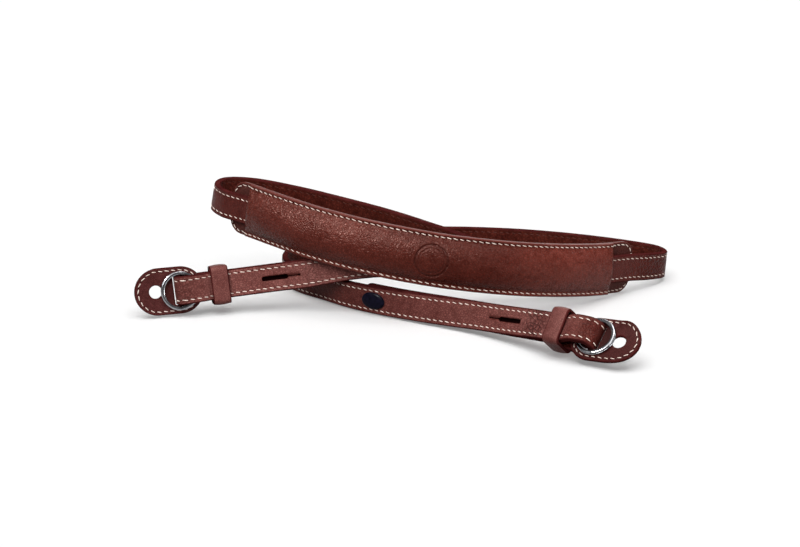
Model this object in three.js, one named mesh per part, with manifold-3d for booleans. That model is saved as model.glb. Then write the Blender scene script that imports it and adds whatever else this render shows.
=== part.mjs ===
// A leather camera strap with a shoulder pad, lying in a loose double coil.
// Millimetres, +Z up, x to the right, y away from the front. The strap stands on its edge.
import * as THREE from "three";
import { mergeVertices } from "three/addons/utils/BufferGeometryUtils.js";
import Module from "manifold-3d";

// Driving dimensions.
const GAP = 0.3; // between pieces that touch
const STRAP = { width: 12.6, thickness: 2.6, bevel: 0.5, step: 5 };
const PAD = {
  width: 24.1,
  length: 214.6,
  before: 10.5, // how far the backing starts before the table's row
  backing: 1.5,
  rim: 1.2, // the cover's thickness where it is sewn down
  rimWidth: 2.6,
  crown: 4.0, // the cover's front above its rim, in the middle of its width
  endCrown: 3.2,
  endHollow: 2.8, // the cover's ends are cut back this much in the middle
  cornerRadius: 7.5,
  coverInset: { left: 10.8, right: 15 }, // how far the backing shows past the cover
  step: 7,
};
const FLAP = {
  thickness: 1.8,
  width: 21.2,
  outward: 19.8, // from the ring's centre to the outer end
  inward: 11.6,
  holeRadius: 3.1,
  holeAt: 10.3,
  slotAt: 0.7,
  slotWidth: 5.4,
  slotRoom: 1.2, // between the strap's edge and the slot's end
};
const RING = { outer: 8.7, inner: 7.1, wire: 0.92, split: 0.16, edge: 0.15, jog: 34, jogAt: 150 };
const KEEPER = { width: 8, height: 17, wall: 1.2, corner: 2, innerCorner: 0.9 };
const SLOT = { length: 12, width: 1.7, slit: 5, slitWidth: 0.5 };
const HUMP = { from: -16, to: -8 }; // where the strap climbs to pass over the ring
const STUD = { length: 12, width: 7.7, dome: 1.9, shank: 1.6, base: 4.4, foot: 1 };
const TAIL = { end: -121, parts: -26, spread: -11.6 }; // where it ends, leaves the strap and is clear of it

const ringThickness = 2 * RING.wire + RING.split;
const layer = STRAP.thickness + GAP; // from one layer of strap to the next
const halfStrap = STRAP.thickness / 2;
// Heights over the strap's middle plane at the ring, outer side positive.
const ringTop = -GAP;
const flapTop = ringTop - ringThickness - GAP;
const tailDepth = flapTop - FLAP.thickness - GAP - halfStrap;

// The strap's middle line from the left ring to the right one. It winds to the left all the way.
// back and right are the degrees by which the strap's upper edge leans that way.
const ROUTE = [
  { x: -98.1, y: -32.3, z: 11.9, back: 13, right: 0 }, // left ring
  { x: -81.3, y: -26.7, z: 12.8, back: 14, right: 0 },
  { x: -57.0, y: -23.8, z: 15.3, back: 14, right: 0 },
  { x: -40.5, y: -22.8, z: 17.2, back: 13, right: 0 },
  { x: -22.8, y: -22.2, z: 20.3, back: 9, right: 0 }, // crosses over the right half
  { x: -6.5, y: -20.6, z: 21.2, back: 6, right: 0 },
  { x: 22.0, y: -18.6, z: 20.2, back: 3, right: 0 },
  { x: 50.0, y: -14.2, z: 17.4, back: 0, right: 0 },
  { x: 74.0, y: -7.0, z: 14.8, back: 0, right: 0 },
  { x: 85.0, y: 0.0, z: 13.9, back: 0, right: 0 }, // turns back behind the pad
  { x: 84.0, y: 8.6, z: 13.6, back: 0, right: 0 },
  { x: 73.0, y: 12.4, z: 13.9, back: -2, right: 0 },
  { x: 55.0, y: 8.5, z: 15.8, back: -4, right: 0 },
  { x: 36.0, y: 5.0, z: 19.0, back: -6, right: 0 },
  { x: 18.0, y: 10.4, z: 23.8, back: -8, right: 0 },
  { x: -4.5, y: 20.8, z: 28.5, back: -10, right: 0 },
  { x: -27.0, y: 28.0, z: 32.7, back: -10, right: 0 },
  { x: -50.0, y: 31.4, z: 37.4, back: -9, right: 2 },
  { x: -70.0, y: 29.6, z: 41.5, back: -6, right: 6 },
  { x: -82.0, y: 22.4, z: 43.4, back: 0, right: 9 },
  { x: -85.2, y: 14.2, z: 43.2, back: 0, right: 10 }, // left tip
  { x: -80.8, y: 5.2, z: 42.2, back: 4, right: 7 },
  { x: -70.0, y: -4.2, z: 41.4, back: 7, right: 3, pad: true }, // left end of the pad
  { x: -58.5, y: -14.4, z: 40.1, back: 7, right: 0 },
  { x: -39.5, y: -27.0, z: 37.2, back: 7, right: 0 },
  { x: -17.5, y: -35.6, z: 33.6, back: 7, right: 0 },
  { x: 14.5, y: -40.0, z: 28.4, back: 6, right: 0 }, // middle of the pad
  { x: 36.0, y: -39.0, z: 25.2, back: 5, right: 0 },
  { x: 53.5, y: -34.8, z: 22.4, back: 4, right: 0 },
  { x: 72.0, y: -24.7, z: 18.7, back: 4, right: 2 },
  { x: 91.0, y: -10.0, z: 14.6, back: 5, right: 4 },
  { x: 106.0, y: 3.4, z: 11.9, back: 3, right: 4 }, // right end of the pad
  { x: 117.0, y: 13.0, z: 9.6, back: 2, right: 4 },
  { x: 123.6, y: 21.8, z: 8.1, back: 0, right: 4 }, // right tip
  { x: 121.4, y: 33.6, z: 7.2, back: 0, right: 3 },
  { x: 107.0, y: 45.4, z: 6.7, back: 0, right: 0 },
  { x: 82.0, y: 57.6, z: 6.5, back: 0, right: 0 },
  { x: 53.0, y: 66.0, z: 6.5, back: 0, right: 0 },
  { x: 20.0, y: 69.0, z: 6.5, back: 0, right: 0 },
  { x: -12.0, y: 63.6, z: 6.5, back: 0, right: 0 },
  { x: -37.0, y: 50.0, z: 6.5, back: 0, right: 0 },
  { x: -51.4, y: 33.0, z: 6.5, back: 0, right: 0 },
  { x: -53.6, y: 17.0, z: 6.5, back: 0, right: 0 }, // left curl
  { x: -46.4, y: 3.0, z: 6.5, back: -5, right: 0 },
  { x: -34.4, y: -9.4, z: 6.5, back: -8, right: 0 },
  { x: -22.8, y: -20.6, z: 6.5, back: -5, right: 0 },
  { x: -9.0, y: -30.2, z: 6.5, back: 2, right: 0 },
  { x: 5.3, y: -39.2, z: 6.8, back: 8, right: 0 },
  { x: 20.6, y: -48.0, z: 7.2, back: 13, right: 0 },
  { x: 33.8, y: -56.0, z: 7.9, back: 22, right: 0 },
  { x: 46.0, y: -65.6, z: 9.0, back: 32, right: 0 },
  { x: 67.0, y: -85.2, z: 12.1, back: 49, right: 0 },
  { x: 81.3, y: -94.9, z: 12.2, back: 56, right: 0 }, // right ring
];

const COLOURS = {
  leather: 0x5a2a24,
  lining: 0x4a211c,
  steel: 0x8d9096,
  stud: 0x14141f,
};

const wasm = await Module();
wasm.setup();

const routeCurve = new THREE.CatmullRomCurve3(
  ROUTE.map((row) => new THREE.Vector3(row.x, row.y, row.z)),
  false,
  "centripetal",
);
const leanCurve = new THREE.CatmullRomCurve3(
  ROUTE.map((row) => new THREE.Vector3(row.right, row.back, 0)),
  false,
  "catmullrom",
  0.5,
);
routeCurve.arcLengthDivisions = ROUTE.length * 40;
const routeLength = routeCurve.getLength();

// The frame of the strap at a distance along the route: straight on past either end.
// along runs with the route, up to the strap's upper edge and out to its outer face.
function frameAt(distance) {
  const inside = THREE.MathUtils.clamp(distance / routeLength, 0, 1);
  const t = routeCurve.getUtoTmapping(inside);
  const along = routeCurve.getTangent(t);
  const lean = leanCurve.getPoint(t).multiplyScalar(THREE.MathUtils.DEG2RAD);
  const up = new THREE.Vector3(Math.tan(lean.x), Math.tan(lean.y), 1);
  up.addScaledVector(along, -up.dot(along)).normalize();
  const out = new THREE.Vector3().crossVectors(along, up);
  const past = distance - inside * routeLength;
  const at = routeCurve.getPoint(t).addScaledVector(along, past);
  return { at, along, up, out };
}

// Distance along the route of the table's row that lies nearest a place.
function distanceOfRow(index) {
  const lengths = routeCurve.getLengths();
  return lengths[Math.round((index / (ROUTE.length - 1)) * (lengths.length - 1))];
}
const padLeftRow = ROUTE.findIndex((row) => row.pad);
const padStart = distanceOfRow(padLeftRow) - PAD.before;
const padEnd = padStart + PAD.length;
const padMiddle = (padStart + padEnd) / 2;

// The two ends of the strap. ring is the ring's place along the route, outward the sense there;
// every other place is measured outward from the ring's centre.
// lift is how high the strap humps over the ring, foldAt and reach where it turns down through the
// flap, tail the height at which it comes back.
// keeper, slot and stud are places on the strap. keeperTurn is in degrees, keeperFront the height
// of the room in the keeper and keeperDepth that room's depth.
const ENDS = {
  left: {
    ring: 0, outward: -1, lift: 1.7, foldAt: -2.7, reach: 3.6, tail: tailDepth,
    keeper: -18.8, keeperTurn: 0, keeperFront: 2.2, keeperDepth: 9.2, slot: -43.3, stud: -110,
  },
  right: {
    ring: routeLength, outward: 1, lift: 2.8, foldAt: -3.9, reach: 4.9, tail: tailDepth - 0.7,
    keeper: -17.2, keeperTurn: 1, keeperFront: 2.6, keeperDepth: 11.4, slot: -43.4, stud: -114.3,
  },
};

function placeAt(end, outward, height = 0) {
  const frame = frameAt(end.ring + end.outward * outward);
  const matrix = new THREE.Matrix4().makeBasis(
    frame.along.clone().multiplyScalar(end.outward),
    frame.up.clone().multiplyScalar(end.outward),
    frame.out,
  );
  return matrix.setPosition(frame.at.addScaledVector(frame.out, height));
}

function smooth(value, from, to) {
  return THREE.MathUtils.smoothstep(value, from, to);
}

// ---------------------------------------------------------------------------
// Geometry helpers

// A closed solid through rings of equal length, each ring counter-clockwise seen from the last one.
function loft(rings) {
  const count = rings[0].length;
  const positions = rings.flat().flatMap((point) => point.toArray());
  const index = [];
  for (let r = 0; r + 1 < rings.length; r++)
    for (let i = 0; i < count; i++) {
      const j = (i + 1) % count;
      const [a, b] = [r * count + i, r * count + j];
      const [c, d] = [a + count, b + count];
      index.push(a, b, d, a, d, c);
    }
  const last = (rings.length - 1) * count;
  for (const [i, j, k] of capTriangles(rings[0])) index.push(i, k, j);
  for (const [i, j, k] of capTriangles(rings.at(-1))) index.push(last + i, last + j, last + k);
  return new THREE.BufferGeometry()
    .setAttribute("position", new THREE.Float32BufferAttribute(positions, 3))
    .setIndex(index);
}

// Triangles that fill one flat ring of points, in the ring's own order.
function capTriangles(ring) {
  const centre = new THREE.Vector3();
  const normal = new THREE.Vector3();
  ring.forEach((point, i) => {
    const next = ring[(i + 1) % ring.length];
    centre.addScaledVector(point, 1 / ring.length);
    normal.add(new THREE.Vector3().crossVectors(point, next));
  });
  normal.normalize();
  const across = new THREE.Vector3().subVectors(ring[0], centre).normalize();
  const over = new THREE.Vector3().crossVectors(normal, across);
  const flat = ring.map((point) => {
    const from = new THREE.Vector3().subVectors(point, centre);
    return new THREE.Vector2(from.dot(across), from.dot(over));
  });
  return THREE.ShapeUtils.triangulateShape(flat, []);
}

// A cross-section given as [up, out] pairs, set at a frame whose along direction is the sweep's.
function sectionRing(outline, frame) {
  return outline.map(([up, out]) =>
    frame.at.clone().addScaledVector(frame.up, up).addScaledVector(frame.out, out),
  );
}

// A flat bar's outline with bevelled edges, counter-clockwise seen against the along direction.
function barOutline(width, thickness, bevel) {
  const [w, t, b] = [width / 2, thickness / 2, bevel];
  return [
    [w - b, -t], [w, b - t], [w, t - b], [w - b, t],
    [b - w, t], [-w, t - b], [-w, b - t], [b - w, -t],
  ];
}

function solidOf(geometry) {
  const bare = geometry.clone();
  bare.deleteAttribute("normal");
  bare.deleteAttribute("uv");
  const merged = mergeVertices(bare, 1e-4);
  return new wasm.Manifold(
    new wasm.Mesh({
      numProp: 3,
      vertProperties: merged.getAttribute("position").array,
      triVerts: new Uint32Array(merged.index.array),
    }),
  );
}

function geometryOf(solid) {
  const mesh = solid.getMesh();
  return new THREE.BufferGeometry()
    .setAttribute("position", new THREE.BufferAttribute(new Float32Array(mesh.vertProperties), 3))
    .setIndex(new THREE.BufferAttribute(new Uint32Array(mesh.triVerts), 1));
}

function cut(geometry, tools) {
  return geometryOf(tools.reduce((solid, tool) => solid.subtract(solidOf(tool)), solidOf(geometry)));
}

// ---------------------------------------------------------------------------
// The strap

// The places of one half's middle line, from the middle of the pad out to the ring, down through
// the flap and back behind itself: outward from the ring's centre, and the height over the route.
function strapStations(end) {
  const stations = [];
  const start = -Math.abs(end.ring - padMiddle) + GAP / 2;
  const straight = end.foldAt - start;
  const steps = Math.ceil(straight / STRAP.step);
  for (let i = 0; i < steps; i++) {
    const outward = start + (i / steps) * straight;
    stations.push([outward, end.lift * smooth(outward, HUMP.from, HUMP.to)]);
  }
  const foldSteps = 8;
  const [middle, half] = [(end.lift + end.tail) / 2, (end.lift - end.tail) / 2];
  for (let i = 0; i <= foldSteps; i++) {
    const turn = (i / foldSteps) * Math.PI;
    stations.push([end.foldAt + end.reach * Math.sin(turn), middle + half * Math.cos(turn)]);
  }
  const tailSteps = Math.ceil((end.foldAt - TAIL.end) / STRAP.step);
  for (let i = 1; i <= tailSteps; i++) {
    const outward = end.foldAt + (i / tailSteps) * (TAIL.end - end.foldAt);
    const spread = smooth(outward, TAIL.parts, TAIL.spread);
    stations.push([outward, -layer + spread * (end.tail + layer)]);
  }
  return stations;
}

function strapFrames(end) {
  const frames = strapStations(end).map(([outward, height]) => {
    const frame = frameAt(end.ring + end.outward * outward);
    return { at: frame.at.addScaledVector(frame.out, height), up: frame.up };
  });
  return frames.map(({ at, up }, i) => {
    const before = frames[Math.max(i - 1, 0)].at;
    const after = frames[Math.min(i + 1, frames.length - 1)].at;
    const along = new THREE.Vector3().subVectors(after, before);
    const square = up.clone().addScaledVector(along, -up.dot(along) / along.lengthSq()).normalize();
    return { at, up: square, out: along.cross(square).normalize() };
  });
}

// A box through a half of the strap at a place outward from its ring.
function slotTool(end, outward, length, width, depth, height) {
  return new THREE.BoxGeometry(length, width, depth).applyMatrix4(placeAt(end, outward, height));
}

function strapHalf(end) {
  const outline = barOutline(STRAP.width, STRAP.thickness, STRAP.bevel);
  const body = loft(strapFrames(end).map((frame) => sectionRing(outline, frame)));
  const slitAt = end.slot - (SLOT.length + SLOT.slit) / 2;
  const frontOnly = STRAP.thickness + 1.8 * GAP; // stops short of the layer behind
  const studHole = new THREE.CylinderGeometry(STUD.shank + GAP, STUD.shank + GAP, 4 * layer, 16)
    .rotateX(Math.PI / 2)
    .applyMatrix4(placeAt(end, end.stud, -layer / 2));
  return cut(body, [
    slotTool(end, end.slot, SLOT.length, SLOT.width, frontOnly, 0),
    slotTool(end, slitAt, SLOT.slit + 1, SLOT.slitWidth, frontOnly, 0),
    studHole,
  ]);
}

// ---------------------------------------------------------------------------
// The shoulder pad

function padStations(from, to, rounded) {
  const steps = Math.ceil((to - from) / PAD.step);
  const places = Array.from({ length: steps + 1 }, (_, i) => from + ((to - from) * i) / steps);
  if (!rounded) return places;
  const corner = [0.15, 0.9, 2.4, 4.8].map((inset) => Math.min(inset, PAD.cornerRadius));
  const inner = places.filter((place) => place > from + 6 && place < to - 6);
  return [...corner.map((c) => from + c), ...inner, ...corner.map((c) => to - c).reverse()];
}

// Half the backing's width at a place along it: the corners are round.
function backingHalfWidth(place) {
  const radius = PAD.cornerRadius;
  const inset = radius - Math.min(place - padStart, padEnd - place, radius);
  return PAD.width / 2 - radius + Math.sqrt(radius * radius - inset * inset);
}

const backingFront = -halfStrap - GAP;

function padBacking() {
  const rings = padStations(padStart, padEnd, true).map((place) => {
    const half = backingHalfWidth(place);
    const outline = [
      [half, backingFront - PAD.backing], [half, backingFront],
      [0, backingFront],
      [-half, backingFront], [-half, backingFront - PAD.backing],
      [0, backingFront - PAD.backing],
    ];
    return sectionRing(outline, frameAt(place));
  });
  return loft(rings);
}

// The cover is sewn to the backing along both edges and bulges over the strap between them.
function padCover() {
  const half = PAD.width / 2;
  const bottom = backingFront + GAP;
  const top = bottom + PAD.rim;
  const tunnel = STRAP.width / 2 + 2 * GAP;
  const roof = halfStrap + GAP;
  const crownHalf = half - PAD.rimWidth;
  const places = padStations(padStart + PAD.coverInset.left, padEnd - PAD.coverInset.right, false);
  const rings = places.map((place, i) => {
    const fromEnd = Math.min(place - places[0], places.at(-1) - place);
    const height = PAD.endCrown + (PAD.crown - PAD.endCrown) * smooth(fromEnd, 0, 25);
    const crown = [1, 0.9, 0.7, 0.4, 0, -0.4, -0.7, -0.9, -1].map((share) => [
      share * crownHalf,
      top + height * Math.pow(1 - share * share, 0.55),
    ]);
    const outline = [
      [half, bottom], [half, top], ...crown, [-half, top], [-half, bottom],
      [-tunnel, bottom], [-tunnel, roof], [0, roof], [tunnel, roof], [tunnel, bottom],
    ];
    const frame = frameAt(place);
    const inward = i === 0 ? 1 : i === places.length - 1 ? -1 : 0;
    return sectionRing(outline, frame).map((point, j) => {
      const raised = Math.max(0, (outline[j][1] - bottom) / (top + height - bottom));
      return point.addScaledVector(frame.along, inward * PAD.endHollow * raised);
    });
  });
  return loft(rings);
}

// ---------------------------------------------------------------------------
// The ends: flap, split ring, keeper and stud, each drawn about the ring's centre

// The flap lies in x and y with its face up z, its outer end along +x.
function flap() {
  const half = FLAP.width / 2;
  const outline = new THREE.Shape();
  outline.absarc(FLAP.outward - half, 0, half, -Math.PI / 2, Math.PI / 2, false);
  outline.absarc(half - FLAP.inward, 0, half, Math.PI / 2, (3 * Math.PI) / 2, false);
  outline.closePath();
  const hole = new THREE.Path();
  hole.absarc(FLAP.holeAt, 0, FLAP.holeRadius, 0, 2 * Math.PI, true);
  const slot = new THREE.Path();
  const [inner, outer] = [FLAP.slotAt - FLAP.slotWidth / 2, FLAP.slotAt + FLAP.slotWidth / 2];
  const reach = STRAP.width / 2 + FLAP.slotRoom;
  slot.moveTo(inner, -reach).lineTo(inner, reach).lineTo(outer, reach).lineTo(outer, -reach).closePath();
  outline.holes.push(hole, slot);
  return new THREE.ExtrudeGeometry(outline, {
    depth: FLAP.thickness,
    bevelEnabled: false,
    curveSegments: 10,
  });
}

// A split ring of two turns of flat wire, with a jog where one turn steps up to the other.
function splitRing() {
  const jog = THREE.MathUtils.degToRad(RING.jog);
  const turn = 2 * Math.PI;
  const sweep = 2 * turn - jog * 1.15;
  const steps = 56;
  const pitch = RING.wire + RING.split;
  const rings = Array.from({ length: steps + 1 }, (_, i) => {
    const angle = (i / steps) * sweep;
    const rise = pitch * smooth(angle, turn - jog, turn);
    const { inner, outer, wire, edge } = RING;
    const corners = [
      [inner, edge], [inner + edge, 0], [outer - edge, 0], [outer, edge],
      [outer, wire - edge], [outer - edge, wire], [inner + edge, wire], [inner, wire - edge],
    ];
    return corners.map(
      ([radius, height]) =>
        new THREE.Vector3(radius * Math.cos(angle), -radius * Math.sin(angle), rise + height),
    );
  });
  return loft(rings);
}

// A round-cornered band, closed about x, with room for the given depth of strap.
function keeper({ keeperFront, keeperDepth }) {
  const { height, wall, width, corner, innerCorner } = KEEPER;
  const half = height / 2;
  const back = keeperFront - keeperDepth;
  const outer = roundedRectangle(new THREE.Shape(), -half, back - wall, half, keeperFront + wall, corner);
  outer.holes.push(
    roundedRectangle(new THREE.Path(), wall - half, back, half - wall, keeperFront, innerCorner),
  );
  return new THREE.ExtrudeGeometry(outer, { depth: width, bevelEnabled: false, curveSegments: 4 })
    .translate(0, 0, -width / 2)
    .applyMatrix4(
      new THREE.Matrix4().makeBasis(
        new THREE.Vector3(0, 1, 0),
        new THREE.Vector3(0, 0, 1),
        new THREE.Vector3(1, 0, 0),
      ),
    );
}

function roundedRectangle(path, left, low, right, high, radius) {
  const quarter = Math.PI / 2;
  path.absarc(right - radius, low + radius, radius, -quarter, 0, false);
  path.absarc(right - radius, high - radius, radius, 0, quarter, false);
  path.absarc(left + radius, high - radius, radius, quarter, 2 * quarter, false);
  path.absarc(left + radius, low + radius, radius, 2 * quarter, 3 * quarter, false);
  path.closePath();
  return path;
}

// An oval dome on a shank that goes through both layers to a round foot behind them.
function stud() {
  const face = halfStrap + GAP;
  const foot = -layer - halfStrap - GAP;
  const profile = [new THREE.Vector2(0, 0), new THREE.Vector2(0.86, 0), new THREE.Vector2(1, 0.5)];
  for (const share of [0.25, 0.5, 0.75]) {
    const turn = (share * Math.PI) / 2;
    profile.push(new THREE.Vector2(Math.cos(turn), 0.5 + Math.sin(turn) * (STUD.dome - 0.5)));
  }
  profile.push(new THREE.Vector2(0, STUD.dome));
  const dome = new THREE.LatheGeometry(profile, 28)
    .rotateX(Math.PI / 2)
    .scale(STUD.length / 2, STUD.width / 2, 1)
    .translate(0, 0, face);
  const post = new THREE.LatheGeometry(
    [
      new THREE.Vector2(0, foot - STUD.foot),
      new THREE.Vector2(STUD.base, foot - STUD.foot),
      new THREE.Vector2(STUD.base, foot),
      new THREE.Vector2(STUD.shank, foot),
      new THREE.Vector2(STUD.shank, face + 0.5),
      new THREE.Vector2(0, face + 0.5),
    ],
    16,
  ).rotateX(Math.PI / 2);
  return geometryOf(solidOf(dome).add(solidOf(post)));
}

// A loose keeper stands turned about the layers it holds.
function keeperPlace(end) {
  const turn = new THREE.Matrix4().makeRotationX(THREE.MathUtils.degToRad(end.keeperTurn));
  const middle = -layer / 2;
  return placeAt(end, end.keeper, middle)
    .multiply(turn)
    .multiply(new THREE.Matrix4().makeTranslation(0, 0, -middle));
}

// ---------------------------------------------------------------------------
// The assembly

function piece(name, geometry, color, roughness, metalness = 0) {
  geometry.computeVertexNormals();
  const mesh = new THREE.Mesh(
    geometry,
    new THREE.MeshStandardMaterial({ color, roughness, metalness, flatShading: true }),
  );
  mesh.name = name;
  return mesh;
}

function placed(mesh, matrix) {
  mesh.applyMatrix4(matrix);
  return mesh;
}

const strapAssembly = new THREE.Group();
strapAssembly.add(
  piece("pad_backing", padBacking(), COLOURS.lining, 0.75),
  piece("pad_cover", padCover(), COLOURS.leather, 0.5),
);
for (const [side, end] of Object.entries(ENDS)) {
  const fittings = new THREE.Group();
  fittings.applyMatrix4(placeAt(end, 0));
  const flapMesh = piece(`flap_${side}`, flap(), COLOURS.leather, 0.55);
  flapMesh.position.z = flapTop - FLAP.thickness;
  const ringMesh = piece(`ring_${side}`, splitRing(), COLOURS.steel, 0.25, 1);
  ringMesh.position.z = ringTop - ringThickness;
  ringMesh.rotation.z = THREE.MathUtils.degToRad(RING.jogAt);
  fittings.add(flapMesh, ringMesh);
  strapAssembly.add(
    fittings,
    piece(`strap_${side}`, strapHalf(end), COLOURS.leather, 0.55),
    placed(piece(`keeper_${side}`, keeper(end), COLOURS.leather, 0.5), keeperPlace(end)),
    placed(piece(`stud_${side}`, stud(), COLOURS.stud, 0.3), placeAt(end, end.stud)),
  );
}

// The origin is under the middle of the whole, on the surface it lies on.
const bounds = new THREE.Box3().setFromObject(strapAssembly, true);
const middle = bounds.getCenter(new THREE.Vector3());
strapAssembly.position.set(-middle.x, -middle.y, -bounds.min.z);
const part = new THREE.Group();
part.add(strapAssembly);

export default part;
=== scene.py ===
# The looks of a leather camera strap with a shoulder pad, lying in a loose double coil on its edge.
# Sizes are in millimetres until a mesh is made. A place on a band is a length along it, a distance
# across it and a height over its middle plane.
from math import copysign, cos, pi, radians, sin
from types import SimpleNamespace as End

import bmesh
import bpy
import numpy as np
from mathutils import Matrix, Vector
from mathutils.geometry import delaunay_2d_cdt


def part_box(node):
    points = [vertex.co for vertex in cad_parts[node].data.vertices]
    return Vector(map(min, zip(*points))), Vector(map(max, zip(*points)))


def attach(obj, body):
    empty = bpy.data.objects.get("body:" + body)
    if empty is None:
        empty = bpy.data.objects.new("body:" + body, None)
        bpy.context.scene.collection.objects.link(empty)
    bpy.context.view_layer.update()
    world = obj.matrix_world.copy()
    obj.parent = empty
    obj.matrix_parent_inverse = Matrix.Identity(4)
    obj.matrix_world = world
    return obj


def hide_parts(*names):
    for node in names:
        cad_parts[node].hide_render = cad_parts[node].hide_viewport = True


MM = 0.001

# ---- Driving dimensions, the same as the CAD model's

GAP = 0.3  # between pieces that touch
STRAP_WIDTH, STRAP_THICKNESS = 12.6, 2.6
PAD_WIDTH, PAD_LENGTH = 24.1, 214.6
PAD_BEFORE = 10.5  # how far the backing starts before the pad's row of the route
BACKING, RIM, RIM_WIDTH = 1.5, 1.2, 2.6
CROWN, END_CROWN, END_HOLLOW = 4.0, 3.2, 2.8
CORNER_RADIUS = 7.5
COVER_INSET_LEFT, COVER_INSET_RIGHT = 10.8, 15.0
FLAP_THICKNESS, FLAP_WIDTH, FLAP_OUTWARD, FLAP_INWARD = 1.8, 21.2, 19.8, 11.6
FLAP_HOLE_AT, FLAP_SLOT_AT, FLAP_SLOT_WIDTH = 10.3, 0.7, 5.4
RING_OUTER, RING_INNER = 8.7, 7.1
RING_JOG, RING_JOG_AT = 34, 150  # degrees
KEEPER_WIDTH, KEEPER_HEIGHT, KEEPER_WALL = 8.0, 17.0, 1.2
SLOT_LENGTH, SLIT_LENGTH = 12.0, 5.0
STUD_LENGTH, STUD_WIDTH, STUD_DOME = 12.0, 7.7, 1.9
STUD_SHANK, STUD_BASE, STUD_FOOT = 1.6, 4.4, 1.0
HUMP_FROM, HUMP_TO = -16, -8
TAIL_END, TAIL_PARTS, TAIL_SPREAD = -121, -26, -11.6

# ---- Sizes that are a little different from the CAD model's

FLAP_HOLE_RADIUS = 2.95
RING_WIRE, RING_SPLIT = 0.84, 0.32
KEEPER_CORNER = 2.3
SLOT_WIDTH, SLIT_WIDTH = 2.0, 0.4
SLOT_FLOOR = 0.25  # the leather left behind the slot

HALF_STRAP = STRAP_THICKNESS / 2
LAYER = STRAP_THICKNESS + GAP
RING_THICKNESS = 2 * RING_WIRE + RING_SPLIT
RING_TOP = -GAP
FLAP_TOP = RING_TOP - RING_THICKNESS - GAP
TAIL_DEPTH = FLAP_TOP - FLAP_THICKNESS - GAP - HALF_STRAP
BACKING_FRONT = -HALF_STRAP - GAP
COVER_BOTTOM = BACKING_FRONT + GAP
COVER_RIM = COVER_BOTTOM + RIM

# The strap's middle line from the left ring to the right one: x, y, z, and the degrees by which
# the strap's upper edge leans back and to the right.
ROUTE = [
    (-98.1, -32.3, 11.9, 13, 0), (-81.3, -26.7, 12.8, 14, 0), (-57, -23.8, 15.3, 14, 0),
    (-40.5, -22.8, 17.2, 13, 0), (-22.8, -22.2, 20.3, 9, 0), (-6.5, -20.6, 21.2, 6, 0),
    (22, -18.6, 20.2, 3, 0), (50, -14.2, 17.4, 0, 0), (74, -7, 14.8, 0, 0),
    (85, 0, 13.9, 0, 0), (84, 8.6, 13.6, 0, 0), (73, 12.4, 13.9, -2, 0),
    (55, 8.5, 15.8, -4, 0), (36, 5, 19, -6, 0), (18, 10.4, 23.8, -8, 0),
    (-4.5, 20.8, 28.5, -10, 0), (-27, 28, 32.7, -10, 0), (-50, 31.4, 37.4, -9, 2),
    (-70, 29.6, 41.5, -6, 6), (-82, 22.4, 43.4, 0, 9), (-85.2, 14.2, 43.2, 0, 10),
    (-80.8, 5.2, 42.2, 4, 7), (-70, -4.2, 41.4, 7, 3), (-58.5, -14.4, 40.1, 7, 0),
    (-39.5, -27, 37.2, 7, 0), (-17.5, -35.6, 33.6, 7, 0), (14.5, -40, 28.4, 6, 0),
    (36, -39, 25.2, 5, 0), (53.5, -34.8, 22.4, 4, 0), (72, -24.7, 18.7, 4, 2),
    (91, -10, 14.6, 5, 4), (106, 3.4, 11.9, 3, 4), (117, 13, 9.6, 2, 4),
    (123.6, 21.8, 8.1, 0, 4), (121.4, 33.6, 7.2, 0, 3), (107, 45.4, 6.7, 0, 0),
    (82, 57.6, 6.5, 0, 0), (53, 66, 6.5, 0, 0), (20, 69, 6.5, 0, 0),
    (-12, 63.6, 6.5, 0, 0), (-37, 50, 6.5, 0, 0), (-51.4, 33, 6.5, 0, 0),
    (-53.6, 17, 6.5, 0, 0), (-46.4, 3, 6.5, -5, 0), (-34.4, -9.4, 6.5, -8, 0),
    (-22.8, -20.6, 6.5, -5, 0), (-9, -30.2, 6.5, 2, 0), (5.3, -39.2, 6.8, 8, 0),
    (20.6, -48, 7.2, 13, 0), (33.8, -56, 7.9, 22, 0), (46, -65.6, 9, 32, 0),
    (67, -85.2, 12.1, 49, 0), (81.3, -94.9, 12.2, 56, 0),
]
PAD_ROW = ROUTE.index((-70, -4.2, 41.4, 7, 3))  # near the pad's left end

# ---- Details that only the visual model has

CURVE_STEPS = 60  # points of the route from one row to the next
STEP = 0.8  # along a band
FOLD_POINTS, PLATE_EDGE_POINTS, CORNER_POINTS = 22, 10, 9  # round a bend
SEAM_WIDTH, SEAM_DEPTH, FACE_WAVE = 0.4, 0.16, 0.05
TAIL_ROUNDING, TAIL_NARROWING = 3, 0.25
STRAP_SEAM, STRAP_PITCH = 4.4, 3.05  # from the middle of its width
PAD_SEAM, PAD_PITCH = 1.4, 2.9  # from the rim
FLAP_SEAM, FLAP_PITCH = 1.55, 3.0
THREAD_WIDTH, THREAD_HEIGHT, THREAD_SLANT, DASH = 0.37, 0.30, 0.24, 2.2
THREAD_TAPER = np.array([0.6, 0.9, 1, 1.04, 1, 0.9, 0.6])  # along one stitch
THREAD_SIDES, HOLE_SIDES = 6, 8
THREAD_SUNK = 0.12  # how far a row of the strap's thread lies in its seam
HOLE_LENGTH, HOLE_WIDTH, HOLE_LEVELS = 0.75, 0.34, (-0.1, 0.035)
SLIT_OVERLAP, SLIT_HOLE = 1.0, 0.8
FLAP_ROOM = 0.35  # from the strap's sides to the slot's ends in a flap
FLAP_CUP, FLAP_CUP_DEPTH = 0.012, 0.35
KEEPER_CROWN = 0.42
STUD_SIDES = 56
ROUNDEL_RADIUS, ROUNDEL_LINE, ROUNDEL_DEPTH = 7.1, 0.42, 0.6
ROUNDEL_INNER = 1.5  # from the roundel's line to the finer one inside it
ROUNDEL_AT = 105.0  # from the pad's left end
LEAST_PAINTED_LIGHT_AT = 120  # from the pad's left end to where its painted light is least

rng = np.random.default_rng(7)


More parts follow.
